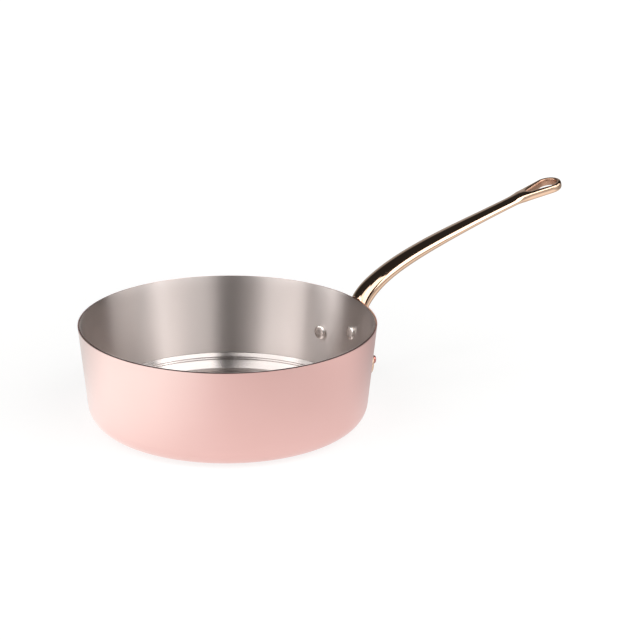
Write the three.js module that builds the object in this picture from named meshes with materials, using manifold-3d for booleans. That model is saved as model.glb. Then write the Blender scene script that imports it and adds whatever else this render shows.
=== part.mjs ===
// Copper sauté pan: a three-ply bowl with leaning walls, and one long cast handle held by three
// two-part rivets. Millimetres, +Z up. The origin is the middle of the flat underside, and the
// handle lies along +X.
import * as THREE from 'three';
import Module from 'manifold-3d';
import { mergeVertices } from 'three/addons/utils/BufferGeometryUtils.js';

const wasm = await Module();
wasm.setup();

// Bowl
const RIM_DIAMETER = 244; // outside, at the top
const BASE_DIAMETER = 227.4; // outside, where the wall line would meet the underside
const BOWL_HEIGHT = 83;
const CORNER_RADIUS = 17; // outside, between wall and underside
const COPPER_PLY = 0.4;
const CORE_PLY = 1.2;
const STEEL_PLY = 0.4;

// Rivets
const CENTRE_RIVET_DROP = 30; // below the rim
const SIDE_RIVET_DROP = 40;
const SIDE_RIVET_ANGLE = THREE.MathUtils.degToRad(19.4); // round the bowl, from the handle's plane
const TUBE_DIAMETER = 5;
const TUBE_BORE = 3.4;
const SOCKET_HEAD_DIAMETER = 12;
const SOCKET_HEAD_HEIGHT = 2.4;
const PIN_HEAD_DIAMETER = 7;
const PIN_HEAD_HEIGHT = 2.4;

// Handle flange
const FLANGE_THICKNESS = 3.5;
const FLANGE_TOP_DROP = 12; // below the rim
const FLANGE_FOOT = 9; // from the centre rivet down to the lower edge
const FLANGE_SHOULDER = 13; // half width of the upper edge
const EAR_RADIUS = 8.5;
const EAR_DROP = 3.5; // ear centre below its rivet
const EAR_WRAP = THREE.MathUtils.degToRad(108); // each way round the ear from its outer end

// Handle arm, an oval that thins from root to neck
const HANDLE_REACH = 204; // from the rim out to the loop's tip
const HANDLE_RISE = 75.7; // from the rim up to the loop's tip
const ARM_ROOT_DROP = 18; // below the rim
const ARM_ROOT_OUT = 0.5; // from the copper out to the middle of the root
const ARM_ROOT_PULL = 38; // how far the root follows the wall before it bends out
const ARM_NECK_PULL = 102; // how far the neck end runs straight
const ARM_SLOPE = THREE.MathUtils.degToRad(16.6);
const ARM_STATIONS = [0, 0.08, 0.2, 0.33, 0.55, 0.8, 1]; // along the arm's curve, root to neck
const ARM_WIDTHS = [27, 24, 21.5, 19.9, 18.2, 15.2, 14.6];
const ARM_DEPTHS = [5, 10.8, 11.2, 10.6, 9.6, 8, 7.4];

// Hanging loop
const LOOP_SLOPE = THREE.MathUtils.degToRad(13);
const LOOP_RADIUS = 12.2;
const LOOP_LENGTH = 40.9; // from the neck to the tip
const LOOP_DEPTH = 7;
const LOOP_BEVEL = 2;
const LOOP_BEVEL_SHARE = 0.48; // of the bar round the eye, the most that a bevel may take of it
const LOOP_TAIL_LENGTH = 14; // runs back into the arm's neck
const LOOP_TAIL_RADIUS = 4.5;
const EYE_RADIUS = 8;
const EYE_LENGTH = 30;
const EYE_TIP_RADIUS = 1.6;

// Clearances
const PLY_GAP = 0.02; // between the bonded plies, so that rounding never makes them overlap
const SEAT_GAP = 0.3; // between pieces that are clamped together
const HOLE_CLEARANCE = 0.2; // round each rivet tube
const PRESS_CLEARANCE = 0.2; // round each rivet pin

// Fineness of the facets
const BOWL_SIDES = 64;
const CORNER_STEPS = 6;
const RIVET_SIDES = 20;
const DOME_STEPS = 4;
const ARM_STEPS = 22;
const ARM_SIDES = 18;
const OUTLINE_STEPS = 8;
const WELD = 1e-4;

const rimRadius = RIM_DIAMETER / 2;
const wallThickness = COPPER_PLY + CORE_PLY + STEEL_PLY;
const draft = Math.atan((RIM_DIAMETER - BASE_DIAMETER) / 2 / BOWL_HEIGHT);
const armRootHeight = BOWL_HEIGHT - ARM_ROOT_DROP;

// Boolean solids from three.js geometry, and back
function solid(geometry) {
  const bare = geometry.clone();
  bare.deleteAttribute('normal');
  bare.deleteAttribute('uv');
  const welded = mergeVertices(bare, WELD);
  const corners = [];
  for (let i = 0; i < welded.index.count; i += 3) {
    const [a, b, c] = [0, 1, 2].map((k) => welded.index.getX(i + k));
    if (a !== b && b !== c && c !== a) corners.push(a, b, c);
  }
  return new wasm.Manifold(new wasm.Mesh({
    numProp: 3,
    vertProperties: new Float32Array(welded.getAttribute('position').array),
    triVerts: new Uint32Array(corners),
  }));
}

function geometryOf(body) {
  const mesh = body.getMesh();
  const geometry = new THREE.BufferGeometry();
  geometry.setAttribute('position', new THREE.BufferAttribute(mesh.vertProperties, 3));
  geometry.setIndex(new THREE.BufferAttribute(mesh.triVerts, 1));
  geometry.computeVertexNormals();
  return geometry;
}

function turned(profile, sides) {
  const points = profile.map(([radius, height]) => new THREE.Vector2(radius, height));
  return new THREE.LatheGeometry(points, sides).rotateX(Math.PI / 2);
}

// Bowl surfaces. An inset is measured square to the outside, towards the inside of the bowl.
function wallRadius(height, inset) {
  return rimRadius - (BOWL_HEIGHT - height) * Math.tan(draft) - inset / Math.cos(draft);
}

function bowlProfile(inset) {
  const centreRadius = wallRadius(CORNER_RADIUS, CORNER_RADIUS);
  const radius = CORNER_RADIUS - inset;
  const profile = [[0, inset]];
  for (let i = 0; i <= CORNER_STEPS; i += 1) {
    const angle = THREE.MathUtils.lerp(-Math.PI / 2, -draft, i / CORNER_STEPS);
    profile.push([centreRadius + radius * Math.cos(angle), CORNER_RADIUS + radius * Math.sin(angle)]);
  }
  profile.push([wallRadius(BOWL_HEIGHT, inset), BOWL_HEIGHT]);
  return profile;
}

function bowlPly(outerInset, innerInset) {
  const profile = [...bowlProfile(outerInset), ...bowlProfile(innerInset).reverse()];
  return solid(turned(profile, BOWL_SIDES)).subtract(rivetHoles());
}

// Rivet frames: local +Z points out of the bowl, square to the wall, from the copper's outside
const rivets = [
  { name: 'left', azimuth: SIDE_RIVET_ANGLE, drop: SIDE_RIVET_DROP },
  { name: 'centre', azimuth: 0, drop: CENTRE_RIVET_DROP },
  { name: 'right', azimuth: -SIDE_RIVET_ANGLE, drop: SIDE_RIVET_DROP },
];

function rivetSeat({ azimuth, drop }) {
  const height = BOWL_HEIGHT - drop;
  const radius = wallRadius(height, 0);
  return new THREE.Vector3(radius * Math.cos(azimuth), radius * Math.sin(azimuth), height);
}

function rivetGroup(rivet) {
  const group = new THREE.Group();
  group.position.copy(rivetSeat(rivet));
  group.rotation.set(0, Math.PI / 2 + draft, rivet.azimuth, 'ZYX');
  group.updateMatrix();
  return group;
}

function rivetHoles() {
  const length = 2 * (wallThickness + FLANGE_THICKNESS + SEAT_GAP);
  const radius = TUBE_DIAMETER / 2 + HOLE_CLEARANCE;
  const drill = new THREE.CylinderGeometry(radius, radius, length, RIVET_SIDES).rotateX(Math.PI / 2);
  const holes = rivets.map((rivet) => solid(drill.clone().applyMatrix4(rivetGroup(rivet).matrix)));
  return holes.reduce((all, hole) => all.add(hole));
}

// How far the faceted inside of the wall bows in, this far to either side of a rivet's axis
function wallBow(reach) {
  const radius = wallRadius(BOWL_HEIGHT - SIDE_RIVET_DROP, wallThickness);
  const facetBow = radius * (1 - Math.cos(Math.PI / BOWL_SIDES));
  return radius - Math.sqrt(radius ** 2 - reach ** 2) + facetBow;
}

function dome(radius, foot, crown) {
  const points = [];
  for (let i = 0; i <= DOME_STEPS; i += 1) {
    const angle = (i / DOME_STEPS) * (Math.PI / 2);
    points.push([radius * Math.cos(angle), foot + (crown - foot) * Math.sin(angle)]);
  }
  points[DOME_STEPS][0] = 0;
  return points;
}

function rivetSocket() {
  const headRadius = SOCKET_HEAD_DIAMETER / 2;
  const headFoot = -wallThickness - SEAT_GAP - wallBow(headRadius);
  const tubeEnd = FLANGE_THICKNESS;
  const boreFloor = -wallThickness / 2;
  const profile = [
    ...dome(headRadius, headFoot, headFoot - SOCKET_HEAD_HEIGHT).reverse(),
    [TUBE_DIAMETER / 2, headFoot],
    [TUBE_DIAMETER / 2, tubeEnd],
    [TUBE_BORE / 2, tubeEnd],
    [TUBE_BORE / 2, boreFloor],
    [0, boreFloor],
  ];
  return geometryOf(solid(turned(profile, RIVET_SIDES)));
}

function rivetPin() {
  const headFoot = FLANGE_THICKNESS + 2 * SEAT_GAP;
  const pinRadius = TUBE_BORE / 2 - PRESS_CLEARANCE;
  const pinEnd = -wallThickness / 2 + SEAT_GAP;
  const profile = [
    [0, pinEnd],
    [pinRadius, pinEnd],
    [pinRadius, headFoot],
    ...dome(PIN_HEAD_DIAMETER / 2, headFoot, headFoot + PIN_HEAD_HEIGHT),
  ];
  return geometryOf(solid(turned(profile, RIVET_SIDES)));
}

// Handle
function bowlEnvelope() {
  const top = BOWL_HEIGHT + SEAT_GAP;
  const profile = [...bowlProfile(-SEAT_GAP), [wallRadius(top, -SEAT_GAP), top], [0, top]];
  return solid(turned(profile, BOWL_SIDES));
}

function flangeOutline() {
  const sideSeat = rivetSeat(rivets[0]);
  const top = BOWL_HEIGHT - FLANGE_TOP_DROP;
  const foot = BOWL_HEIGHT - CENTRE_RIVET_DROP - FLANGE_FOOT;
  const earHeight = sideSeat.z - EAR_DROP;
  const earReach = sideSeat.y + EAR_RADIUS * Math.cos(EAR_WRAP);
  const earTop = earHeight + EAR_RADIUS * Math.sin(EAR_WRAP);
  const half = new THREE.Path();
  half.moveTo(0, top);
  half.lineTo(FLANGE_SHOULDER, top);
  half.quadraticCurveTo((FLANGE_SHOULDER + earReach) / 2, earTop + EAR_RADIUS, earReach, earTop);
  half.absarc(sideSeat.y, earHeight, EAR_RADIUS, EAR_WRAP, -EAR_WRAP, true);
  half.quadraticCurveTo(earReach / 2, foot, 0, foot);
  const right = half.getPoints(OUTLINE_STEPS);
  const left = right.slice(1, -1).reverse().map((point) => new THREE.Vector2(-point.x, point.y));
  return new THREE.Shape([...right, ...left]);
}

function flange() {
  const plate = new THREE.ExtrudeGeometry(flangeOutline(), { depth: rimRadius, bevelEnabled: false });
  const across = new THREE.Vector3(0, 1, 0);
  const upwards = new THREE.Vector3(0, 0, 1);
  const outwards = new THREE.Vector3(1, 0, 0);
  plate.applyMatrix4(new THREE.Matrix4().makeBasis(across, upwards, outwards));
  plate.translate(rimRadius / 2, 0, 0);
  const backInset = -SEAT_GAP;
  const faceInset = -SEAT_GAP - FLANGE_THICKNESS;
  const sleeve = turned([
    [wallRadius(CORNER_RADIUS, backInset), CORNER_RADIUS],
    [wallRadius(CORNER_RADIUS, faceInset), CORNER_RADIUS],
    [wallRadius(BOWL_HEIGHT, faceInset), BOWL_HEIGHT],
    [wallRadius(BOWL_HEIGHT, backInset), BOWL_HEIGHT],
    [wallRadius(CORNER_RADIUS, backInset), CORNER_RADIUS],
  ], BOWL_SIDES);
  return solid(plate).intersect(solid(sleeve));
}

function neckPoint() {
  const reach = HANDLE_REACH - LOOP_LENGTH * Math.cos(LOOP_SLOPE);
  const rise = HANDLE_RISE - LOOP_LENGTH * Math.sin(LOOP_SLOPE);
  return new THREE.Vector3(rimRadius + reach, 0, BOWL_HEIGHT + rise);
}

function armCurve() {
  const rootRadius = wallRadius(armRootHeight, -ARM_ROOT_OUT);
  const root = new THREE.Vector3(rootRadius, 0, armRootHeight);
  const alongWall = new THREE.Vector3(Math.sin(draft), 0, Math.cos(draft));
  const alongNeck = new THREE.Vector3(Math.cos(ARM_SLOPE), 0, Math.sin(ARM_SLOPE));
  const neck = neckPoint();
  return new THREE.CubicBezierCurve3(
    root,
    root.clone().addScaledVector(alongWall, ARM_ROOT_PULL),
    neck.clone().addScaledVector(alongNeck, -ARM_NECK_PULL),
    neck,
  );
}

function arm() {
  const curve = armCurve();
  const widths = new THREE.CubicInterpolant(ARM_STATIONS, ARM_WIDTHS, 1);
  const depths = new THREE.CubicInterpolant(ARM_STATIONS, ARM_DEPTHS, 1);
  const positions = [];
  const corners = [];
  for (let i = 0; i <= ARM_STEPS; i += 1) {
    const share = i / ARM_STEPS;
    const point = curve.getPointAt(share);
    const along = curve.getTangentAt(share);
    const outOfBack = new THREE.Vector3(-along.z, 0, along.x);
    const halfWidth = widths.evaluate(share)[0] / 2;
    const halfDepth = depths.evaluate(share)[0] / 2;
    for (let k = 0; k < ARM_SIDES; k += 1) {
      const angle = (k / ARM_SIDES) * 2 * Math.PI;
      const corner = point.clone().addScaledVector(outOfBack, halfDepth * Math.sin(angle));
      positions.push(corner.x, corner.y - halfWidth * Math.cos(angle), corner.z);
    }
  }
  for (let i = 0; i < ARM_STEPS; i += 1) {
    for (let k = 0; k < ARM_SIDES; k += 1) {
      const a = i * ARM_SIDES + k;
      const b = i * ARM_SIDES + ((k + 1) % ARM_SIDES);
      corners.push(a, b + ARM_SIDES, b, a, a + ARM_SIDES, b + ARM_SIDES);
    }
  }
  const lastRing = ARM_STEPS * ARM_SIDES;
  for (let k = 1; k < ARM_SIDES - 1; k += 1) {
    corners.push(0, k, k + 1);
    corners.push(lastRing, lastRing + k + 1, lastRing + k);
  }
  const geometry = new THREE.BufferGeometry();
  geometry.setAttribute('position', new THREE.Float32BufferAttribute(positions, 3));
  geometry.setIndex(corners);
  return solid(geometry);
}

// A round end with straight flanks that draw in to a smaller round end nearer the neck
function teardrop(path, smallAt, smallRadius, largeAt, largeRadius) {
  const lean = Math.acos((largeRadius - smallRadius) / (largeAt - smallAt));
  const flank = Math.PI - lean;
  path.absarc(largeAt, 0, largeRadius, -flank, flank, false);
  path.absarc(smallAt, 0, smallRadius, flank, 2 * Math.PI - flank, false);
}

function hangingLoop() {
  const roundEndAt = LOOP_LENGTH - LOOP_RADIUS;
  const eyeEndAt = roundEndAt + EYE_RADIUS;
  const eyeTipAt = eyeEndAt - EYE_LENGTH + EYE_TIP_RADIUS;
  const bevel = Math.min(LOOP_BEVEL, LOOP_BEVEL_SHARE * (LOOP_RADIUS - EYE_RADIUS));
  const outline = new THREE.Shape();
  teardrop(outline, -LOOP_TAIL_LENGTH, LOOP_TAIL_RADIUS, roundEndAt, LOOP_RADIUS);
  const eye = new THREE.Path();
  teardrop(eye, eyeTipAt, EYE_TIP_RADIUS, roundEndAt, EYE_RADIUS);
  outline.holes.push(eye);
  const plate = new THREE.ExtrudeGeometry(outline, {
    depth: LOOP_DEPTH - 2 * bevel,
    bevelThickness: bevel,
    bevelSize: bevel,
    bevelOffset: -bevel,
    bevelSegments: 2,
    curveSegments: OUTLINE_STEPS,
  });
  plate.translate(0, 0, bevel - LOOP_DEPTH / 2);
  plate.rotateY(-LOOP_SLOPE);
  const neck = neckPoint();
  plate.translate(neck.x, neck.y, neck.z);
  return solid(plate);
}

function handle() {
  const casting = arm().add(hangingLoop()).add(flange());
  return geometryOf(casting.subtract(bowlEnvelope()).subtract(rivetHoles()));
}

// Finishes
const finishes = {
  copper: { color: 0xe7b0a2, roughness: 0.22, metalness: 1 },
  aluminium: { color: 0x9a958f, roughness: 0.4, metalness: 1 },
  steel: { color: 0xc4bcb4, roughness: 0.3, metalness: 1 },
  bronze: { color: 0xc99a72, roughness: 0.15, metalness: 1 },
};

function named(name, geometry, finish) {
  const mesh = new THREE.Mesh(geometry, new THREE.MeshStandardMaterial(finishes[finish]));
  mesh.name = name;
  return mesh;
}

const pan = new THREE.Group();
const coreInset = COPPER_PLY;
const liningInset = COPPER_PLY + CORE_PLY;
pan.add(named('copper_skin', geometryOf(bowlPly(0, coreInset)), 'copper'));
pan.add(named('aluminium_core', geometryOf(bowlPly(coreInset + PLY_GAP, liningInset)), 'aluminium'));
pan.add(named('steel_lining', geometryOf(bowlPly(liningInset + PLY_GAP, wallThickness)), 'steel'));
pan.add(named('handle', handle(), 'bronze'));
for (const rivet of rivets) {
  const group = rivetGroup(rivet);
  group.add(named(`rivet_socket_${rivet.name}`, rivetSocket(), 'steel'));
  group.add(named(`rivet_pin_${rivet.name}`, rivetPin(), 'copper'));
  pan.add(group);
}

export default pan;
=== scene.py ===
# Copper sauté pan on a white studio table: a three-ply bowl, a cast bronze handle and three rivets.
import math

import bpy
import numpy as np
from mathutils import Matrix, Vector


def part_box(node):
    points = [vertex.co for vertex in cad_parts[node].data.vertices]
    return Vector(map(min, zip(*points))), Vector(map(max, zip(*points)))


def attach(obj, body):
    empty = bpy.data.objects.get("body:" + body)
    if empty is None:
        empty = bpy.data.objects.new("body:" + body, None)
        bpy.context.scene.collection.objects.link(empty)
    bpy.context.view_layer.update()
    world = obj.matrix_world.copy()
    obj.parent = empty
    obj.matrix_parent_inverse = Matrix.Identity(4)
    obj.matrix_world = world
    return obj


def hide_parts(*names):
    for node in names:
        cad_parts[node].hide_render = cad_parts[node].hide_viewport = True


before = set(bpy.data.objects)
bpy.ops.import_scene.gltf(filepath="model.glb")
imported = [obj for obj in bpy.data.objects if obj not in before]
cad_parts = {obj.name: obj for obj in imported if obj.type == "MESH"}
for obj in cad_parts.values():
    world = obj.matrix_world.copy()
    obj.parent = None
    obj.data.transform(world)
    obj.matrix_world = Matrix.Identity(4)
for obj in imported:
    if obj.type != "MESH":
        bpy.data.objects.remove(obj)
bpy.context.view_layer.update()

MM = 0.001  # sizes below are in millimetres unless they say otherwise

# Bowl
RIM_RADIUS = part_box("copper_skin")[1].y / MM
BOWL_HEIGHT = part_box("copper_skin")[1].z / MM
WALL_LEAN = 0.1  # how far the wall leans out for each millimetre of height
DRAFT = math.atan(WALL_LEAN)
CORNER_RADIUS = 17
COPPER_PLY = 0.4
CORE_PLY = 1.2
STEEL_PLY = 0.4
PLY_GAP = 0.02
WALL = COPPER_PLY + CORE_PLY + STEEL_PLY
CORE_RECESS = 0.05  # the softer core is cut back a little below the rim
RIM_EASE = 0.1  # radius on the rim's sharp corners
RIM_SLOPE = 0.22  # the rim's cut falls this much outwards for each millimetre
# The roller left flats and grooves at the top of the lining's corner: how far the surface leans back from
# upright at the end of each, in degrees, and its width in millimetres
ROLLER_MARKS = [
    (-8, 0.5), (40, 0.5),  # a step at the foot of the wall
    (43, 3.4),  # the flat ring
    (-6, 0.6), (33, 0.7), (34, 0.6),  # the upper groove
    (-6, 0.6), (34, 0.7),  # the lower groove
    (38, 6), (42, 1.5),  # the start of the sweep into the floor
]
BOWL_SIDES = 256
CORNER_STEPS = 16
MARK_STEPS = 3
LIP_STEPS = 4
WALL_ROWS = 8
FLOOR_RINGS = 6

# Rivets
CENTRE_RIVET_DROP = 30
SIDE_RIVET_DROP = 40
SIDE_RIVET_ANGLE = math.radians(19.4)
TUBE_RADIUS = 2.5
BORE_RADIUS = 1.7
PIN_RADIUS = 1.5
SOCKET_HEAD_RADIUS = 6
PIN_HEAD_RADIUS = 3.5
HEAD_HEIGHT = 2.4
HEAD_EDGE = 0.5  # straight foot of a head below its dome
SOCKET_FULLNESS = 3.4  # 2 is an elliptical dome, and more is flatter on top with a rounder edge
PIN_FULLNESS = 2.5
RIVET_SIDES = 64
DOME_STEPS = 24

# Handle
FLANGE_THICKNESS = 3.5
FLANGE_SEAT = 0.05  # between the flange and the copper
FLANGE_TOP_DROP = 12
FLANGE_FOOT = 9
FLANGE_SHOULDER = 13
FLANGE_EASE = 2.6
EAR_RADIUS = 8.5
EAR_DROP = 3.5
EAR_WRAP = math.radians(108)
EAR_STEPS = 32
SWEEP_STEPS = 24
RIVET_HOLE = 2.7
HANDLE_REACH = 204
HANDLE_RISE = 75.7
ARM_ROOT_DROP = 18
ARM_ROOT_OUT = 0.5  # from the copper out to the root's middle
ARM_ROOT_PULL = 38
ARM_NECK_PULL = 102
ARM_SLOPE = math.radians(16.6)
ARM_STATIONS = [0, 0.08, 0.2, 0.33, 0.55, 0.8, 1]
ARM_WIDTHS = [27, 24, 21.5, 19.9, 18.2, 15.2, 14.6]
ARM_DEPTHS = [5, 10.8, 11.2, 10.6, 9.6, 8, 7.4]
ARM_STEPS = 240
NECK_RUN = 12  # the arm fades out this far inside the loop's plate
NECK_STEPS = 12
NECK_FADE = 0.02  # share of its size that the arm keeps at the end of the run
TAIL_SINK = 1.6  # the plate's tail lies this much deeper inside the arm than the plate
LOOP_SLOPE = math.radians(13)
LOOP_RADIUS = 12.2
LOOP_LENGTH = 40.9
LOOP_DEPTH = 7
LOOP_EASE = 4
LOOP_TAIL_LENGTH = 14
LOOP_TAIL_RADIUS = 4.5
EYE_RADIUS = 8
EYE_LENGTH = 30
EYE_TIP_RADIUS = 1.6
EYE_EASE = 3
ROOT_FILLET = 9  # where the arm grows out of the flange
NECK_FILLET = 2.5  # where the arm runs into the loop
AS_CAST_REACH = 1.6  # the eye's wall is left as cast up to here, round its eased edges
POLISH_EDGE = 0.6  # and the polish fades in over this width
CASTING_STEP = 0.8  # size of the casting's mesh faces
CASTING_MARGIN = 2  # room left round the handle for its skin
SETTLE_TURNS = 3
NUDGE = 0.05  # how far to each side a field is read, for its slope
LEAST_SLOPE = 0.2  # a field that is flatter than this is taken as this steep
BATCH = 20000  # points measured against the arm at a time
TINY = 1e-6


# Meshes
def piece_from(name, points, faces, place=Matrix()):
    mesh = bpy.data.meshes.new(name)
    mesh.from_pydata([tuple(Vector(point) * MM) for point in points], [], faces)
    mesh.transform(place)
    mesh.polygons.foreach_set("use_smooth", [True] * len(mesh.polygons))
    mesh.validate()
    piece = bpy.data.objects.new(name, mesh)
    bpy.context.scene.collection.objects.link(piece)
    return piece


# Turns a line of (radius, height) points round the Z axis. Both its ends lie on the axis.
# The mesh keeps the way round the axis at each point, which is how the lathe's lines run.
def turned(name, line, sides, place=Matrix()):
    points = [(0, 0, line[0][1])]
    ways = [Vector((1, 0, 0))]
    for radius, height in line[1:-1]:
        for k in range(sides):
            angle = 2 * math.pi * k / sides
            points.append((radius * math.cos(angle), radius * math.sin(angle), height))
            ways.append(Vector((-math.sin(angle), math.cos(angle), 0)))
    points.append((0, 0, line[-1][1]))
    ways.append(Vector((1, 0, 0)))
    rows = len(line) - 2
    last = len(points) - 1
    faces = []
    for k in range(sides):
        after = (k + 1) % sides
        faces.append((0, 1 + after, 1 + k))
        for row in range(rows - 1):
            low = 1 + row * sides
            faces.append((low + k, low + after, low + sides + after, low + sides + k))
        top = 1 + (rows - 1) * sides
        faces.append((last, top + k, top + after))
    piece = piece_from(name, points, faces, place)
    round_axis = piece.data.attributes.new("round_axis", "FLOAT_VECTOR", "POINT")
    round_axis.data.foreach_set("vector", [part for way in ways for part in place.to_3x3() @ way])
    return piece


# Bowl: three plies that share one wall line
def wall_radius(height, inset):
    return RIM_RADIUS - (BOWL_HEIGHT - height) * WALL_LEAN - inset / math.cos(DRAFT)


def plain_corner(inset):
    centre = wall_radius(CORNER_RADIUS, CORNER_RADIUS)
    radius = CORNER_RADIUS - inset
    corner = []
    for angle in np.linspace(-math.pi / 2, -DRAFT, CORNER_STEPS + 1):
        corner.append((centre + radius * math.cos(angle), CORNER_RADIUS + radius * math.sin(angle)))
    return corner


# The lining's corner, made from the wall down: the roller's marks, then one round sweep into the floor
def rolled_corner(inset):
    radius, height = plain_corner(inset)[-1]
    corner = [(radius, height)]
    lean = DRAFT
    for end, width in ROLLER_MARKS:
        for tilt in np.linspace(lean, math.radians(end), MARK_STEPS + 1)[1:]:
            radius -= width / MARK_STEPS * math.sin(tilt)
            height -= width / MARK_STEPS * math.cos(tilt)
            corner.append((radius, height))
        lean = math.radians(end)
    sweep = (height - inset) / (1 - math.sin(lean))
    for tilt in np.linspace(lean, math.pi / 2, CORNER_STEPS + 1)[1:]:
        reach = sweep * (math.cos(lean) - math.cos(tilt))
        corner.append((radius - reach, height - sweep * (math.sin(tilt) - math.sin(lean))))
    return corner[::-1]


def bowl_line(inset, top, corner):
    line = [(corner[0][0] * ring / FLOOR_RINGS, inset) for ring in range(FLOOR_RINGS)] + corner
    for height in np.linspace(line[-1][1], top, WALL_ROWS + 1)[1:]:
        line.append((wall_radius(height, inset), height))
    return line


# The round on one of the rim's corners, from the wall up. The way is -1 outside and 1 inside.
def lip_corner(inset, top, way):
    corner = []
    for angle in np.linspace(0, math.pi / 2, LIP_STEPS + 1)[1:]:
        reach = RIM_EASE * (1 - math.cos(angle))
        corner.append((wall_radius(top, inset) + way * reach, top - RIM_EASE * (1 - math.sin(angle))))
    return corner


def ply(name, outer, inner, top, inner_corner=plain_corner):
    outer_top = top - RIM_SLOPE * (WALL - outer)
    inner_top = top - RIM_SLOPE * (WALL - inner)
    outside = bowl_line(outer, outer_top - RIM_EASE, plain_corner(outer))
    inside = bowl_line(inner, inner_top - RIM_EASE, inner_corner(inner))
    lip = lip_corner(outer, outer_top, -1) + lip_corner(inner, inner_top, 1)[::-1]
    return turned(name, outside + lip + inside[::-1], BOWL_SIDES)


copper_bowl = ply("copper_bowl", 0, COPPER_PLY, BOWL_HEIGHT)
core_bowl = ply("core_bowl", COPPER_PLY + PLY_GAP, COPPER_PLY + CORE_PLY, BOWL_HEIGHT - CORE_RECESS)
steel_bowl = ply("steel_bowl", COPPER_PLY + CORE_PLY + PLY_GAP, WALL, BOWL_HEIGHT, rolled_corner)


# Rivets: local +Z points out of the bowl, square to the wall, from the copper's outside
RIVETS = {
    "left": (SIDE_RIVET_ANGLE, SIDE_RIVET_DROP),
    "centre": (0, CENTRE_RIVET_DROP),
    "right": (-SIDE_RIVET_ANGLE, SIDE_RIVET_DROP),
}


def rivet_seat(azimuth, drop):
    height = BOWL_HEIGHT - drop
    radius = wall_radius(height, 0)
    return Vector((radius * math.cos(azimuth), radius * math.sin(azimuth), height))


def rivet_place(azimuth, drop):
    turn = Matrix.Rotation(azimuth, 4, "Z") @ Matrix.Rotation(math.pi / 2 + DRAFT, 4, "Y")
    return Matrix.Translation(rivet_seat(azimuth, drop) * MM) @ turn


def dome(radius, foot, crown, fullness):
    rise = crown - foot
    shoulder = foot + math.copysign(HEAD_EDGE, rise)
    line = [(radius, foot), (radius, shoulder)]
    for angle in np.linspace(0, math.pi / 2, DOME_STEPS + 1)[1:-1]:
        reach = radius * math.cos(angle) ** (2 / fullness)
        line.append((reach, shoulder + (crown - shoulder) * math.sin(angle) ** (2 / fullness)))
    return line + [(0, crown)]


# How far a round wall falls away from its flat tangent at this reach
def wall_bow(reach, radius):
    return radius - math.sqrt(radius ** 2 - reach ** 2)


def rivet_socket(name, azimuth, drop):
    inside = wall_radius(BOWL_HEIGHT - drop, WALL)
    foot = -WALL + FLANGE_SEAT
    crown = -WALL - HEAD_HEIGHT - wall_bow(SOCKET_HEAD_RADIUS, inside)
    head = dome(SOCKET_HEAD_RADIUS, foot, crown, SOCKET_FULLNESS)[::-1]
    tube = [
        (TUBE_RADIUS, foot),
        (TUBE_RADIUS, FLANGE_THICKNESS),
        (BORE_RADIUS, FLANGE_THICKNESS),
        (BORE_RADIUS, -WALL / 2),
        (0, -WALL / 2),
    ]
    return turned(name, head + tube, RIVET_SIDES, rivet_place(azimuth, drop))


def rivet_pin(name, azimuth, drop):
    face = FLANGE_SEAT + FLANGE_THICKNESS
    outside = wall_radius(BOWL_HEIGHT - drop, -face)
    foot = face - wall_bow(PIN_HEAD_RADIUS, outside)
    pin = [(0, 0), (PIN_RADIUS, 0), (PIN_RADIUS, foot)]
    head = dome(PIN_HEAD_RADIUS, foot, face + HEAD_HEIGHT, PIN_FULLNESS)
    return turned(name, pin + head, RIVET_SIDES, rivet_place(azimuth, drop))


sockets = {}
pins = {}
for side, (azimuth, drop) in RIVETS.items():
    sockets[side] = rivet_socket(f"socket_{side}", azimuth, drop)
    pins[side] = rivet_pin(f"pin_{side}", azimuth, drop)


# Handle: one casting, as a distance field in millimetres that is below zero inside the metal.
# Two fields are joined with a fillet between them, which is a cubic blend.
def fused(a, b, fillet):
    near = np.maximum(fillet - np.abs(a - b), 0) / fillet
    return np.minimum(a, b) - near ** 3 * fillet / 6


def trimmed(a, b, ease):
    return -fused(-a, -b, ease)


# A curve through the sizes at the stations, with no sudden change of bend
def eased(stations, sizes, at):
    x = np.array(stations, float)
    y = np.array(sizes, float)
    gap = np.diff(x)
    count = len(x)
    bend = np.zeros((count, count))
    pull = np.zeros(count)
    bend[0, 0] = bend[-1, -1] = 1
    for i in range(1, count - 1):
        bend[i, i - 1:i + 2] = gap[i - 1], 2 * (gap[i - 1] + gap[i]), gap[i]
        pull[i] = 6 * ((y[i + 1] - y[i]) / gap[i] - (y[i] - y[i - 1]) / gap[i - 1])
    second = np.linalg.solve(bend, pull)
    i = np.clip(np.searchsorted(x, at) - 1, 0, count - 2)
    before = x[i + 1] - at
    past = at - x[i]
    ends = (second[i] * before ** 3 + second[i + 1] * past ** 3) / (6 * gap[i])
    low = (y[i] / gap[i] - second[i] * gap[i] / 6) * before
    high = (y[i + 1] / gap[i] - second[i + 1] * gap[i] / 6) * past
    return ends + low + high


NECK = np.array([
    RIM_RADIUS + HANDLE_REACH - LOOP_LENGTH * math.cos(LOOP_SLOPE),
    BOWL_HEIGHT + HANDLE_RISE - LOOP_LENGTH * math.sin(LOOP_SLOPE),
])


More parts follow.
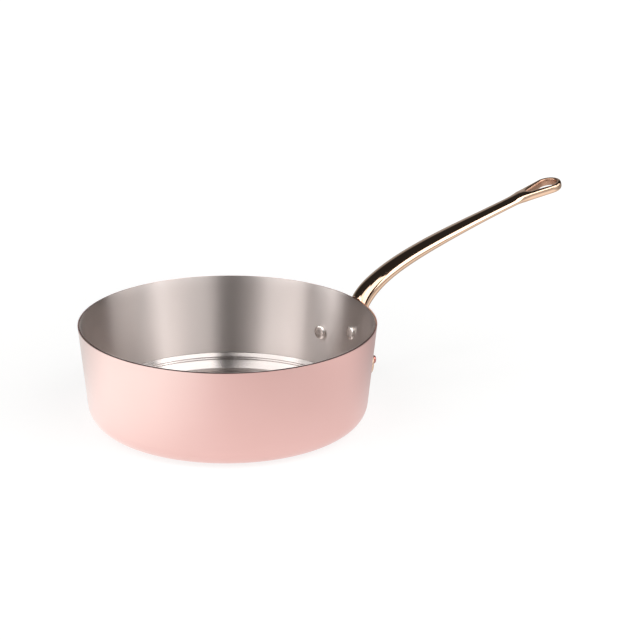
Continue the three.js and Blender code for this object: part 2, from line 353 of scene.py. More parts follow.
# The arm's middle line in the handle's plane, as points (x, z), and its half sizes there
def arm_line():
    height = BOWL_HEIGHT - ARM_ROOT_DROP
    root = np.array([wall_radius(height, -ARM_ROOT_OUT), height])
    along_wall = np.array([math.sin(DRAFT), math.cos(DRAFT)])
    along_neck = np.array([math.cos(ARM_SLOPE), math.sin(ARM_SLOPE)])
    pulls = [root, root + ARM_ROOT_PULL * along_wall, NECK - ARM_NECK_PULL * along_neck, NECK]
    t = np.linspace(0, 1, ARM_STEPS + 1)[:, None]
    shares = [(1 - t) ** 3, 3 * t * (1 - t) ** 2, 3 * t ** 2 * (1 - t), t ** 3]
    line = sum(share * pull for share, pull in zip(shares, pulls))
    run = NECK + np.linspace(0, NECK_RUN, NECK_STEPS + 1)[1:, None] * along_neck
    line = np.vstack([line, run])
    step = np.hypot(*np.diff(line, axis=0).T)
    length = np.concatenate([[0], np.cumsum(step)])
    neck_length = length[-1] - NECK_RUN
    share = np.minimum(length / neck_length, 1)
    fade = np.maximum(length - neck_length, 0) / NECK_RUN
    fade = np.sqrt(np.maximum(1 - fade ** 2, NECK_FADE ** 2))
    half_width = eased(ARM_STATIONS, ARM_WIDTHS, share) / 2 * fade
    half_depth = eased(ARM_STATIONS, ARM_DEPTHS, share) / 2 * fade
    return line, length, half_width, half_depth


ARM = arm_line()


# Distance from the arm's oval section at the nearest place along its line
def arm_field(x, y, z):
    line, length, half_width, half_depth = ARM
    x, z = np.broadcast_arrays(x, z)
    flat = np.column_stack([x.ravel(), z.ravel()])
    nearest = np.empty(len(flat), int)
    for start in range(0, len(flat), BATCH):
        part = flat[start:start + BATCH]
        gap = (part[:, :1] - line[:, 0]) ** 2 + (part[:, 1:] - line[:, 1]) ** 2
        nearest[start:start + BATCH] = gap.argmin(axis=1)
    along = np.gradient(line, length, axis=0)
    along /= np.linalg.norm(along, axis=1)[:, None]
    beyond = ((flat - line[nearest]) * along[nearest]).sum(axis=1)
    place = length[nearest] + beyond
    on_x = np.interp(place, length, line[:, 0])
    on_z = np.interp(place, length, line[:, 1])
    way_x = np.interp(place, length, along[:, 0])
    way_z = np.interp(place, length, along[:, 1])
    out = (flat[:, 1] - on_z) * way_x - (flat[:, 0] - on_x) * way_z
    wide = np.interp(place, length, half_width).reshape(x.shape)
    deep = np.interp(place, length, half_depth).reshape(x.shape)
    past_end = np.maximum(-place, place - length[-1]).reshape(x.shape)
    out = out.reshape(x.shape)
    ratio = np.sqrt((y / wide) ** 2 + (out / deep) ** 2)
    slope = np.sqrt((y / wide ** 2) ** 2 + (out / deep ** 2) ** 2)
    section = (ratio - 1) * (ratio + TINY) / (slope + TINY / deep)
    return np.maximum(section, past_end)


# Distance from a round end that draws in along straight flanks to a smaller round end
def teardrop_field(u, v, small_at, small_radius, large_at, large_radius):
    span = large_at - small_at
    lean = (large_radius - small_radius) / span
    rise = math.sqrt(1 - lean ** 2)
    u = u - small_at
    v = np.abs(v)
    along = u * rise + v * lean
    flank = v * rise - u * lean - small_radius
    small_end = np.hypot(u, v) - small_radius
    large_end = np.hypot(u - span, v) - large_radius
    return np.where(along < 0, small_end, np.where(along > span * rise, large_end, flank))


# The loop's plate, and the eye that goes through it
def loop_fields(x, y, z):
    u = (x - NECK[0]) * math.cos(LOOP_SLOPE) + (z - NECK[1]) * math.sin(LOOP_SLOPE)
    w = (z - NECK[1]) * math.cos(LOOP_SLOPE) - (x - NECK[0]) * math.sin(LOOP_SLOPE)
    round_end = LOOP_LENGTH - LOOP_RADIUS
    eye_tip = round_end + EYE_RADIUS - EYE_LENGTH + EYE_TIP_RADIUS
    outline = teardrop_field(u, y, -LOOP_TAIL_LENGTH, LOOP_TAIL_RADIUS, round_end, LOOP_RADIUS)
    eye = teardrop_field(u, y, eye_tip, EYE_TIP_RADIUS, round_end, EYE_RADIUS)
    sink = TAIL_SINK * np.clip(-u / LOOP_TAIL_LENGTH, 0, 1)
    plate = trimmed(outline + sink, np.abs(w) - LOOP_DEPTH / 2 + sink, LOOP_EASE)
    return plate, eye


# Half of the flange's outline, as points (y, z) from the middle of its top round to the middle of its foot
def flange_outline():
    seat = rivet_seat(SIDE_RIVET_ANGLE, SIDE_RIVET_DROP)
    top = BOWL_HEIGHT - FLANGE_TOP_DROP
    foot = BOWL_HEIGHT - CENTRE_RIVET_DROP - FLANGE_FOOT
    ear = np.array([seat.y, seat.z - EAR_DROP])
    wrap = np.linspace(EAR_WRAP, -EAR_WRAP, EAR_STEPS + 1)[:, None]
    round_ear = ear + EAR_RADIUS * np.hstack([np.cos(wrap), np.sin(wrap)])
    t = np.linspace(0, 1, SWEEP_STEPS + 1)[:, None]

    def sweep(start, pull, end):
        return (1 - t) ** 2 * start + 2 * t * (1 - t) * pull + t ** 2 * end

    shoulder = np.array([FLANGE_SHOULDER, top])
    shoulder_pull = np.array([(FLANGE_SHOULDER + round_ear[0, 0]) / 2, round_ear[0, 1] + EAR_RADIUS])
    foot_pull = np.array([round_ear[-1, 0] / 2, foot])
    upper = sweep(shoulder, shoulder_pull, round_ear[0])
    lower = sweep(round_ear[-1], foot_pull, np.array([0, foot]))
    return np.vstack([[[0, top]], upper, round_ear[1:], lower[1:]])


OUTLINE = flange_outline()


# Distance from the flange's outline. A point is inside it when an odd number of its edges lies above.
def outline_field(y, z):
    y, z = np.broadcast_arrays(y, z)
    shape = y.shape
    points = np.stack([y.ravel(), z.ravel()], axis=1)
    starts = OUTLINE[:-1]
    edges = np.diff(OUTLINE, axis=0)
    nearest = np.full(len(points), np.inf)
    crossings = np.zeros(len(points), int)
    for start, edge in zip(starts, edges):
        rel = points - start
        share = np.clip(rel @ edge / (edge @ edge), 0, 1)
        nearest = np.minimum(nearest, np.hypot(*(rel - share[:, None] * edge).T))
        straddles = (start[0] <= points[:, 0]) != (start[0] + edge[0] <= points[:, 0])
        reach = np.divide(rel[:, 0], edge[0], out=np.zeros(len(points)), where=straddles)
        crossings += straddles & (start[1] + reach * edge[1] > points[:, 1])
    signed = np.where(crossings % 2 == 1, -nearest, nearest)
    return signed.reshape(shape)


def handle_field(x, y, z):
    y = np.abs(y)
    arm = arm_field(x, y, z)
    plate, eye = loop_fields(x, y, z)
    off_wall = (np.hypot(x, y) - wall_radius(z, 0)) * math.cos(DRAFT) - FLANGE_SEAT
    sheet = np.abs(off_wall - FLANGE_THICKNESS / 2) - FLANGE_THICKNESS / 2
    flange = trimmed(outline_field(y, z), sheet, FLANGE_EASE)
    casting = fused(fused(arm, plate, NECK_FILLET), flange, ROOT_FILLET)
    casting = trimmed(casting, -eye, EYE_EASE)
    casting = np.maximum(casting, np.minimum(-off_wall, BOWL_HEIGHT + FLANGE_SEAT - z))
    for azimuth, drop in (RIVETS["left"], RIVETS["centre"]):
        seat = rivet_seat(azimuth, drop)
        level = math.cos(DRAFT)
        axis = Vector((level * math.cos(azimuth), level * math.sin(azimuth), -math.sin(DRAFT)))
        away = [x - seat.x, y - seat.y, z - seat.z]
        along = sum(part * way for part, way in zip(away, axis))
        off_axis = np.sqrt(sum((part - along * way) ** 2 for part, way in zip(away, axis)))
        casting = np.maximum(casting, RIVET_HOLE - off_axis)
    return casting


# The casting's mesh: one smooth skin of four-sided faces where a field is zero
CELL_CORNERS = [(i, j, k) for i in (0, 1) for j in (0, 1) for k in (0, 1)]


# A field's values on a grid, and the grid's first point. The field is alike on both sides of y = 0.
def sampled(field, low, high, step):
    counts = [int(math.ceil((high[i] - low[i]) / step)) + 1 for i in range(3)]
    x = low[0] + step * np.arange(counts[0])
    y = step * (np.arange(counts[1] // 2) + 0.5)
    z = low[2] + step * np.arange(counts[2])
    half = field(x[:, None, None], y[None, :, None], z[None, None, :])
    return np.concatenate([half[:, ::-1], half], axis=1), np.array([x[0], -y[-1], z[0]])


# The grid's cells that the skin passes through, and a grid that gives each one's number
def crossed_cells(solid):
    ends = [slice(0, -1), slice(1, None)]
    filled = sum(solid[ends[i], ends[j], ends[k]].astype(int) for i, j, k in CELL_CORNERS)
    cells = np.argwhere((filled > 0) & (filled < len(CELL_CORNERS)))
    number = np.full(filled.shape, -1)
    number[tuple(cells.T)] = np.arange(len(cells))
    return cells, number


# One point for each crossed cell: the middle of the places where the skin cuts the cell's edges
def cell_points(values, cells):
    total = np.zeros((len(cells), 3))
    hits = np.zeros(len(cells))
    for a in CELL_CORNERS:
        for axis in range(3):
            if a[axis]:
                continue
            b = tuple(a[i] + (i == axis) for i in range(3))
            at_a = values[tuple((cells + a).T)]
            at_b = values[tuple((cells + b).T)]
            cut = (at_a < 0) != (at_b < 0)
            share = np.divide(at_a, at_a - at_b, out=np.zeros(len(cells)), where=cut)
            spot = np.tile(np.array(a, float), (len(cells), 1))
            spot[:, axis] = share
            total += spot * cut[:, None]
            hits += cut
    return cells + total / hits[:, None]


# One face for each grid edge that the skin cuts, through the four cells round it, facing out of the metal
def cell_faces(solid, number):
    faces = []
    for axis in range(3):
        one, two = [i for i in range(3) if i != axis]
        first = [slice(None)] * 3
        second = [slice(None)] * 3
        first[axis] = slice(0, -1)
        second[axis] = slice(1, None)
        before = solid[tuple(first)]
        after = solid[tuple(second)]
        edges = np.argwhere(before != after)
        leaves = before[tuple(edges.T)]
        ring = []
        for back_one, back_two in ((0, 0), (1, 0), (1, 1), (0, 1)):
            cell = edges.copy()
            cell[:, one] -= back_one
            cell[:, two] -= back_two
            ring.append(number[tuple(cell.T)])
        quads = np.stack(ring, axis=1)
        turn = leaves if axis != 1 else ~leaves
        quads[~turn] = quads[~turn][:, ::-1]
        faces.append(quads)
    return np.vstack(faces)


def drawn_onto(field, points):
    value = field(*points.T)
    slope = np.empty_like(points)
    for axis in range(3):
        ahead = points.copy()
        behind = points.copy()
        ahead[:, axis] += NUDGE
        behind[:, axis] -= NUDGE
        slope[:, axis] = (field(*ahead.T) - field(*behind.T)) / (2 * NUDGE)
    steep = np.maximum((slope ** 2).sum(axis=1), LEAST_SLOPE ** 2)
    move = (value / steep)[:, None] * slope
    reach = np.linalg.norm(move, axis=1)[:, None]
    return points - move * np.minimum(1, CASTING_STEP / 2 / np.maximum(reach, TINY))


# Evens out the faces: each point goes halfway to the middle of its neighbours and back onto the field
def settled(field, points, faces):
    sides = np.vstack([faces[:, [i, (i + 1) % 4]] for i in range(4)])
    for turn in range(SETTLE_TURNS):
        near = np.zeros_like(points)
        count = np.zeros(len(points))
        np.add.at(near, sides[:, 0], points[sides[:, 1]])
        np.add.at(count, sides[:, 0], 1)
        points = (points + near / count[:, None]) / 2
        points = drawn_onto(field, points)
    return points


def cast(name, field, low, high, step):
    values, origin = sampled(field, low, high, step)
    solid = values < 0
    cells, number = crossed_cells(solid)
    points = origin + step * cell_points(values, cells)
    faces = cell_faces(solid, number)
    return piece_from(name, settled(field, points, faces), faces.tolist())


handle_low, handle_high = (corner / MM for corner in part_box("handle"))
margin = Vector((CASTING_MARGIN, CASTING_MARGIN, CASTING_MARGIN))
bronze_handle = cast("bronze_handle", handle_field, handle_low - margin, handle_high + margin, CASTING_STEP)

# The eye's wall is left as cast, and the rest is polished
casting_points = np.array([vertex.co for vertex in bronze_handle.data.vertices]) / MM
eye_gap = np.abs(loop_fields(*casting_points.T)[1])
as_cast = bronze_handle.data.attributes.new("as_cast", "FLOAT", "POINT")
as_cast.data.foreach_set("value", np.clip((AS_CAST_REACH - eye_gap) / POLISH_EDGE, 0, 1))


# Finishes
NOISE_SPREAD = (0.3, 0.7)  # most of a noise's values lie between these
METAL_PATCH = 60  # slow changes of tone over a spun surface
LINE_CELLS = 3  # radius, in noise cells, of the circle that a line follows round the bowl
ACROSS_LINES = 0.25  # a quarter of a turn: highlights are drawn out across the lines
# Below BASE_TOP the lining's base colour is also darkened: painted shade
BASE_TOP = (15, 15.6)  # the lining's base is polished up to here, at the foot of the wall
BRONZE_PATCH = 25
BRONZE_POLISH = (0.07, 0.11)  # least and most roughness
STROKE_LENGTH = 16.7  # of one stroke of hand polishing
STROKE_WIDTH = 1.11
POLISH_WAVE = 14  # width and depth of the waves that the grinding left
POLISH_WAVE_DEPTH = 0.03
SAND_GRAIN = 1.6  # coarser than real moulding sand, so that it shows
SAND_ROUGHNESS = 0.4


# An sRGB hex colour as linear light
def linear(colour):
    parts = [int(colour[i:i + 2], 16) / 255 for i in (1, 3, 5)]
    light = [part / 12.92 if part <= 0.04045 else ((part + 0.055) / 1.055) ** 2.4 for part in parts]
    return (*light, 1)


# Adds a node. Its inputs are a list, in the order of its sockets, or a dict from socket to value.
def add(tree, kind, inputs, **settings):
    node = tree.nodes.new(kind)
    for name, value in settings.items():
        setattr(node, name, value)
    pairs = inputs.items() if isinstance(inputs, dict) else enumerate(inputs)
    for socket, value in pairs:
        if isinstance(value, bpy.types.NodeSocket):
            tree.links.new(value, node.inputs[socket])
        else:
            node.inputs[socket].default_value = value
    return node


# A metal finish whose lines run round the bowl's axis. Real buffing lines are finer than a tenth of a
# millimetre, so line_width draws them wider, to show. Below BASE_TOP, base_polish lowers the roughness
# and the base's painted shade darkens the colour.
def spun_metal(name, dark, light, roughness, line_width, line_depth, anisotropic, base_polish=1, base_painted_shade=1):
    material = bpy.data.materials.new(name)
    material.use_nodes = True
    tree = material.node_tree
    surface = tree.nodes["Principled BSDF"]
    surface.inputs["Metallic"].default_value = 1
    surface.inputs["Anisotropic"].default_value = anisotropic
    surface.inputs["Anisotropic Rotation"].default_value = ACROSS_LINES
    place = add(tree, "ShaderNodeTexCoord", []).outputs["Object"]
    flat = add(tree, "ShaderNodeVectorMath", [place, (1, 1, 0)], operation="MULTIPLY").outputs[0]
    outward = add(tree, "ShaderNodeVectorMath", [flat], operation="NORMALIZE").outputs[0]
    radius = add(tree, "ShaderNodeVectorMath", [flat], operation="LENGTH").outputs["Value"]
    height = add(tree, "ShaderNodeSeparateXYZ", [place]).outputs["Z"]
    profile = add(tree, "ShaderNodeMath", [height, radius], operation="SUBTRACT").outputs[0]
    line = add(tree, "ShaderNodeMath", [profile, line_width * MM], operation="DIVIDE").outputs[0]
    lift = add(tree, "ShaderNodeCombineXYZ", {"Z": line}).outputs[0]
    swept = add(
        tree, "ShaderNodeVectorMath", [outward, (LINE_CELLS,) * 3, lift], operation="MULTIPLY_ADD"
    ).outputs[0]
    lines = add(
        tree, "ShaderNodeTexNoise", {"Vector": swept, "Scale": 1, "Detail": 3, "Roughness": 0.6}
    ).outputs["Fac"]
    patches = add(
        tree, "ShaderNodeTexNoise", {"Vector": place, "Scale": 1 / (METAL_PATCH * MM), "Detail": 2}
    ).outputs["Fac"]
    tone = add(
        tree, "ShaderNodeMix", {0: patches, 6: linear(dark), 7: linear(light)}, data_type="RGBA"
    ).outputs[2]
    worn = add(tree, "ShaderNodeMapRange", [lines, *NOISE_SPREAD, *roughness]).outputs[0]
    base_edge = [part * MM for part in BASE_TOP]
    polish = add(tree, "ShaderNodeMapRange", [height, *base_edge, base_polish, 1]).outputs[0]
    worn = add(tree, "ShaderNodeMath", [worn, polish], operation="MULTIPLY").outputs[0]
    # painted shade: the lining's colour is darkened below BASE_TOP
    shade = add(tree, "ShaderNodeMapRange", [height, *base_edge, base_painted_shade, 1]).outputs[0]
    tone = add(tree, "ShaderNodeVectorMath", {0: tone, "Scale": shade}, operation="SCALE").outputs[0]
    grooves = add(
        tree, "ShaderNodeBump", {"Height": lines, "Strength": 1, "Distance": line_depth * MM}
    ).outputs[0]
    grain = add(tree, "ShaderNodeAttribute", [], attribute_name="round_axis").outputs["Vector"]
    tree.links.new(tone, surface.inputs["Base Color"])
    tree.links.new(worn, surface.inputs["Roughness"])
    tree.links.new(grooves, surface.inputs["Normal"])
    tree.links.new(grain, surface.inputs["Tangent"])
    return material


# Drawn copper, buffed on a lathe: a soft sheen with faint lines round the bowl
buffed_copper = spun_metal(
    "buffed_copper", "#EBBEB7", "#EFC4BE",
    roughness=(0.28, 0.34), line_width=1.2, line_depth=0.0005, anisotropic=0.3,
)

# Stainless steel, satin finished on a lathe: highlights drawn out across the lines, over a brighter,
# smoother base whose colour is darkened with painted shade
satin_steel = spun_metal(
    "satin_steel", "#E0D7D3", "#E7DEDA",
    roughness=(0.39, 0.43), line_width=0.6, line_depth=0.0002, anisotropic=1, base_polish=0.6, base_painted_shade=0.74,
)

# Aluminium, cut off at the rim: a thin grey line, darkened with painted shade and warmed with a painted
# reflection of the copper beside it
aluminium_painted_shade = spun_metal(
    "aluminium_painted_shade", "#A07F79", "#AE8D86",
    roughness=(0.2, 0.3), line_width=0.8, line_depth=0.001, anisotropic=0.2,
)

# Stainless rivet heads, pressed and tumbled: plain, bright domes
rivet_steel = spun_metal(
    "rivet_steel", "#EEE7E3", "#F4EEEA",
    roughness=(0.2, 0.25), line_width=1.2, line_depth=0.0005, anisotropic=0.3,
)

# Copper rivet pins, peened: redder and deeper in colour than the bowl
rivet_copper = spun_metal(
    "rivet_copper", "#C4807A", "#D2918A",
    roughness=(0.2, 0.3), line_width=1.2, line_depth=0.006, anisotropic=0,
)


# Bronze, sand cast, then ground and polished by hand: a bright skin with a slight waviness
def polished_bronze():
    material = bpy.data.materials.new("polished_bronze")
    material.use_nodes = True
    tree = material.node_tree
    surface = tree.nodes["Principled BSDF"]
    surface.inputs["Metallic"].default_value = 1
    place = add(tree, "ShaderNodeTexCoord", []).outputs["Object"]
    patches = add(
        tree, "ShaderNodeTexNoise", {"Vector": place, "Scale": 1 / (BRONZE_PATCH * MM), "Detail": 3}
    ).outputs["Fac"]
    bright = add(
        tree, "ShaderNodeMix", {0: patches, 6: linear("#EAC5A8"), 7: linear("#F0CDB2")}, data_type="RGBA"
    ).outputs[2]
    sand = add(
        tree, "ShaderNodeTexNoise", {"Vector": place, "Scale": 1 / (SAND_GRAIN * MM), "Detail": 4}
    ).outputs["Fac"]
    dull = add(
        tree, "ShaderNodeMix", {0: sand, 6: linear("#B48A72"), 7: linear("#DDB49A")}, data_type="RGBA"
    ).outputs[2]
    raw = add(tree, "ShaderNodeAttribute", [], attribute_name="as_cast").outputs["Fac"]
    tone = add(tree, "ShaderNodeMix", {0: raw, 6: bright, 7: dull}, data_type="RGBA").outputs[2]
    stroke = [1 / (size * MM) for size in (STROKE_LENGTH, STROKE_WIDTH, STROKE_WIDTH)]
    strokes = add(tree, "ShaderNodeMapping", {"Vector": place, "Scale": stroke}).outputs[0]
    polish = add(tree, "ShaderNodeTexNoise", {"Vector": strokes, "Scale": 1, "Detail": 2}).outputs["Fac"]
    buffed = add(tree, "ShaderNodeMapRange", [polish, *NOISE_SPREAD, *BRONZE_POLISH]).outputs[0]
    worn = add(tree, "ShaderNodeMix", {0: raw, 2: buffed, 3: SAND_ROUGHNESS}, data_type="FLOAT").outputs[0]
    waves = add(
        tree, "ShaderNodeTexNoise", {"Vector": place, "Scale": 1 / (POLISH_WAVE * MM), "Detail": 1}
    ).outputs["Fac"]
    skin = add(
        tree, "ShaderNodeBump", {"Height": waves, "Strength": 1, "Distance": POLISH_WAVE_DEPTH * MM}
    ).outputs[0]
    tree.links.new(tone, surface.inputs["Base Color"])
    tree.links.new(worn, surface.inputs["Roughness"])
    tree.links.new(skin, surface.inputs["Normal"])
    return material


def fit(piece, material, node):
    piece.data.materials.append(material)
    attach(piece, "root")
    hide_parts(node)


fit(copper_bowl, buffed_copper, "copper_skin")
fit(core_bowl, aluminium_painted_shade, "aluminium_core")
fit(steel_bowl, satin_steel, "steel_lining")
fit(bronze_handle, polished_bronze(), "handle")
for side in RIVETS:
    fit(sockets[side], rivet_steel, f"rivet_socket_{side}")
    fit(pins[side], rivet_copper, f"rivet_pin_{side}")


# Camera: at the photograph's angle, with the handle going back to the right
CAMERA_BEARING = math.radians(-27.2)  # turn of the camera round the bowl from the -Y side
CAMERA_DISTANCE = 1.8249  # metres, from the middle of the underside
CAMERA_HEIGHT_ANGLE = math.radians(21.56)
CAMERA_YAW = math.radians(2.54)
CAMERA_PITCH = math.radians(19.07)
CAMERA_ROLL = math.radians(0.42)
CAMERA_VIEW_END = 50  # metres
SENSOR = 36
PICTURE_WIDTH = 640  # pixels
FOCAL_LENGTH = 2200  # pixels

around = Matrix.Rotation(CAMERA_BEARING, 3, "Z")
to_camera = around @ Vector((0, -1, 0))
to_right = around @ Vector((1, 0, 0))
straight_up = Vector((0, 0, 1))
forward = around @ Vector((
    math.sin(CAMERA_YAW) * math.cos(CAMERA_PITCH),
    math.cos(CAMERA_YAW) * math.cos(CAMERA_PITCH),
    -math.sin(CAMERA_PITCH),
))
level_right = forward.cross(straight_up).normalized()
level_up = level_right.cross(forward)
right = math.cos(CAMERA_ROLL) * level_right + math.sin(CAMERA_ROLL) * level_up
up = right.cross(forward)
stand = to_camera * math.cos(CAMERA_HEIGHT_ANGLE) + straight_up * math.sin(CAMERA_HEIGHT_ANGLE)
aim = Matrix((right, up, -forward)).transposed().to_4x4()
camera = bpy.data.objects.new("camera", bpy.data.cameras.new("camera"))
camera.data.sensor_width = SENSOR
camera.data.lens = SENSOR * FOCAL_LENGTH / PICTURE_WIDTH
camera.data.clip_end = CAMERA_VIEW_END
camera.matrix_world = Matrix.Translation(stand * CAMERA_DISTANCE) @ aim
bpy.context.scene.collection.objects.link(camera)
bpy.context.scene.camera = camera


# Studio, in metres: a glowing white table, soft boxes and a dark room.
# A bearing is measured at the pan, in degrees from the camera towards its right.
def bearing_way(bearing):
    bearing = math.radians(bearing)
    return math.cos(bearing) * to_camera + math.sin(bearing) * to_right


# A soft box that faces the pan. Its width runs level, this turn away from its bearing.
def soft_box(name, bearing, elevation, distance, wide, tall, brightness, turn=90):
    lamp = bpy.data.lights.new(name, "AREA")
    lamp.shape = "RECTANGLE"
    lamp.size = wide
    lamp.size_y = tall
    lamp.energy = brightness * wide * tall * math.pi
    elevation = math.radians(elevation)
    away = math.cos(elevation) * bearing_way(bearing) + math.sin(elevation) * straight_up
    level = bearing_way(bearing + turn)
    across = (level - level.dot(away) * away).normalized()
    facing = Matrix((across, away.cross(across), away)).transposed().to_4x4()
    box = bpy.data.objects.new(name, lamp)
    box.matrix_world = Matrix.Translation(away * distance) @ facing
    bpy.context.scene.collection.objects.link(box)


soft_box("left_soft_box", bearing=-50.5, elevation=46.5, distance=1.7, wide=1.2, tall=2.12, brightness=2.1)
soft_box(
    "right_soft_box", bearing=48, elevation=54, distance=1.7, wide=1.25, tall=1.3, brightness=2.75, turn=62
)
soft_box("left_side_box", bearing=-89, elevation=30, distance=1.5, wide=0.55, tall=1.8, brightness=1.6)
soft_box("left_low_box", bearing=-101, elevation=20, distance=1.5, wide=0.45, tall=0.62, brightness=2.2)
soft_box("right_side_box", bearing=86, elevation=30, distance=1.6, wide=1.6, tall=1.0, brightness=1.4)

TABLE_HALF = 6
TABLE_ROUGHNESS = 0.7
# The table's glow in the metal, where 1 is white, is painted light: a painted pool of light on the left,
# painted shade behind the bowl, and more glow near the bowl's foot and under the handle.
# It goes from one level to another over a stretch in metres.
BRIGHT_BEARING = -87  # the table's brighter side, on the left
BRIGHT_STRETCH = (0, 0.21)  # towards that side
RIGHT_STRETCH = (-0.16, 0.02)  # towards that side, over the table's duller half
RIGHT_GLOW = (0.83, 0.96)
NEAR_STRETCH = (0.13, 0.3)  # outwards from the bowl's foot
LEFT_GLOW = (1.42, 1.66)
NEAR_GLOW = (1.1, 0.93)
BACK_STRETCH = (-0.12, 0.03)  # towards the camera, from behind the bowl
BACK_GLOW = (0.66, 1)
HANDLE_STRETCH = (0.2, 0.4)  # to the right, under the handle
HANDLE_GLOW = (1, 1.45)
EDGE_STRETCH = (0.6, 0.75)  # outwards, where the lit part of the table ends
EDGE_GLOW = (1, 0.5)
# The table's glow to the eye, and its share there over the sheet's own shaded surface
EYE_GLOW = 1.1
SHADOW_STRETCH = (0.25, 0.8)  # outwards from the pan
SHADOW_SHARE = (0.7, 1)


# White acrylic: it glows white to the eye and still takes a soft shadow. In the metal its glow is painted
# light: a pool of light with a cool tint on the left, and painted shade behind the bowl.
def white_acrylic():
    material = bpy.data.materials.new("white_acrylic")
    material.use_nodes = True
    tree = material.node_tree
    sheet = tree.nodes["Principled BSDF"]
    sheet.inputs["Base Color"].default_value = linear("#F4F4F2")
    sheet.inputs["Roughness"].default_value = TABLE_ROUGHNESS
    path = add(tree, "ShaderNodeLightPath", [])
    to_eye = path.outputs["Is Camera Ray"]
    to_metal = path.outputs["Is Glossy Ray"]
    spot = add(tree, "ShaderNodeTexCoord", []).outputs["Object"]
    off_centre = add(tree, "ShaderNodeVectorMath", [spot], operation="LENGTH").outputs["Value"]
    leftward = add(
        tree, "ShaderNodeVectorMath", [spot, bearing_way(BRIGHT_BEARING)], operation="DOT_PRODUCT"
    ).outputs["Value"]
    rightward = add(tree, "ShaderNodeVectorMath", [spot, to_right], operation="DOT_PRODUCT").outputs["Value"]
    nearer = add(tree, "ShaderNodeVectorMath", [spot, to_camera], operation="DOT_PRODUCT").outputs["Value"]
    left_share = add(
        tree, "ShaderNodeMapRange", [leftward, *BRIGHT_STRETCH, 0, 1], interpolation_type="SMOOTHSTEP"
    ).outputs[0]
    # painted reflection: a cool tint on the table's left, seen only in the metal
    painted_cool_tint = add(tree, "ShaderNodeMath", [left_share, to_metal], operation="MULTIPLY").outputs[0]
    colour = add(
        tree, "ShaderNodeMix", {0: painted_cool_tint, 6: linear("#FFFFFF"), 7: linear("#EBFFFF")}, data_type="RGBA"
    ).outputs[2]
    # Painted light in the metal: brighter on the left, near the foot and under the handle, and painted shade
    # behind the bowl
    right_glow = add(tree, "ShaderNodeMapRange", [leftward, *RIGHT_STRETCH, *RIGHT_GLOW]).outputs[0]
    left_glow = add(tree, "ShaderNodeMapRange", [off_centre, *NEAR_STRETCH, *LEFT_GLOW]).outputs[0]
    lit = add(tree, "ShaderNodeMapRange", [left_share, 0, 1, right_glow, left_glow]).outputs[0]
    near_glow = add(
        tree, "ShaderNodeMapRange", [off_centre, *NEAR_STRETCH, *NEAR_GLOW], interpolation_type="SMOOTHSTEP"
    ).outputs[0]
    handle_glow = add(tree, "ShaderNodeMapRange", [rightward, *HANDLE_STRETCH, *HANDLE_GLOW]).outputs[0]
    back_glow = add(tree, "ShaderNodeMapRange", [nearer, *BACK_STRETCH, *BACK_GLOW]).outputs[0]
    edge_glow = add(tree, "ShaderNodeMapRange", [off_centre, *EDGE_STRETCH, *EDGE_GLOW]).outputs[0]
    for part in (near_glow, handle_glow, back_glow, edge_glow):
        lit = add(tree, "ShaderNodeMath", [lit, part], operation="MULTIPLY").outputs[0]
    strength = add(tree, "ShaderNodeMix", {0: to_eye, 2: lit, 3: EYE_GLOW}, data_type="FLOAT").outputs[0]
    share = add(tree, "ShaderNodeMapRange", [off_centre, *SHADOW_STRETCH, *SHADOW_SHARE]).outputs[0]
    seen = add(tree, "ShaderNodeMath", [to_eye, share], operation="MULTIPLY").outputs[0]
    seen = add(tree, "ShaderNodeMath", [seen, to_metal], operation="MAXIMUM").outputs[0]
    glow = add(tree, "ShaderNodeEmission", {"Color": colour, "Strength": strength}).outputs[0]
    mixed = add(tree, "ShaderNodeMixShader", [seen, sheet.outputs[0], glow]).outputs[0]
    tree.links.new(mixed, tree.nodes["Material Output"].inputs["Surface"])
    return material


table_corners = [(x * TABLE_HALF, y * TABLE_HALF, 0) for x, y in ((-1, -1), (1, -1), (1, 1), (-1, 1))]
table_mesh = bpy.data.meshes.new("table")
table_mesh.from_pydata(table_corners, [], [(0, 1, 2, 3)])
table_mesh.materials.append(white_acrylic())
table = bpy.data.objects.new("table", table_mesh)
bpy.context.scene.collection.objects.link(table)

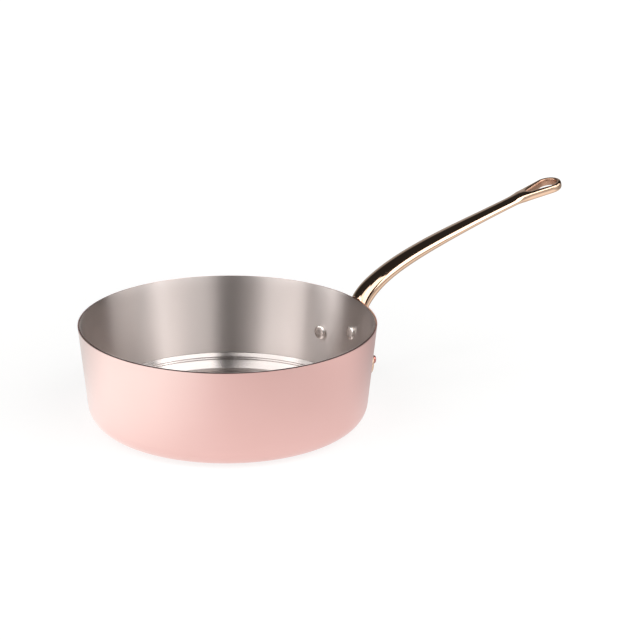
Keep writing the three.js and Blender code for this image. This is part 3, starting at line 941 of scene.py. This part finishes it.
# The room's light on the metal. A stretch of height is a share of straight up, and a stretch between two ways
# is the cosine of the angle from the middle of the backdrop or the screen.
ROOM_DARK = 0.025
HORIZON_LIGHT = 0.14
HORIZON_HEIGHT = (0.02, 0.2)
BACKDROP_LIGHT = 0.42
BACKDROP_HEIGHT = (0.52, 0.74)
BACKDROP_EDGE = (0.8, 0.95)
SCREEN_BEARING = 50
SCREEN_LIGHT = 0.55
SCREEN_HEIGHT = (0.48, 0.56)
SCREEN_EDGE = (0.55, 0.75)


# Room: white to the eye. In the metal it has a grey backdrop, a grey screen on the right, and is dark above.
def studio_room():
    room = bpy.data.worlds.new("room")
    room.use_nodes = True
    tree = room.node_tree
    way = add(tree, "ShaderNodeTexCoord", []).outputs["Generated"]
    rise = add(tree, "ShaderNodeSeparateXYZ", [way]).outputs["Z"]
    back = add(tree, "ShaderNodeVectorMath", [way, -to_camera], operation="DOT_PRODUCT").outputs["Value"]
    aside = add(
        tree, "ShaderNodeVectorMath", [way, bearing_way(SCREEN_BEARING)], operation="DOT_PRODUCT"
    ).outputs["Value"]
    horizon = add(tree, "ShaderNodeMapRange", [rise, *HORIZON_HEIGHT, HORIZON_LIGHT, ROOM_DARK]).outputs[0]
    backdrop = add(
        tree, "ShaderNodeMapRange", [rise, *BACKDROP_HEIGHT, BACKDROP_LIGHT, ROOM_DARK],
        interpolation_type="SMOOTHSTEP",
    ).outputs[0]
    screen = add(tree, "ShaderNodeMapRange", [rise, *SCREEN_HEIGHT, SCREEN_LIGHT, ROOM_DARK]).outputs[0]
    light = add(
        tree, "ShaderNodeMapRange", [back, *BACKDROP_EDGE, horizon, backdrop], interpolation_type="SMOOTHSTEP"
    ).outputs[0]
    beside = add(
        tree, "ShaderNodeMapRange", [aside, *SCREEN_EDGE, 0, 1], interpolation_type="SMOOTHSTEP"
    ).outputs[0]
    light = add(tree, "ShaderNodeMix", {0: beside, 2: light, 3: screen}, data_type="FLOAT").outputs[0]
    to_eye = add(tree, "ShaderNodeLightPath", []).outputs["Is Camera Ray"]
    strength = add(tree, "ShaderNodeMix", {0: to_eye, 2: light, 3: 1}, data_type="FLOAT").outputs[0]
    tree.links.new(strength, tree.nodes["Background"].inputs["Strength"])
    tree.nodes["Background"].inputs["Color"].default_value = linear("#FFFFFF")
    return room


bpy.context.scene.world = studio_room()
bpy.context.scene.view_settings.view_transform = "Standard"
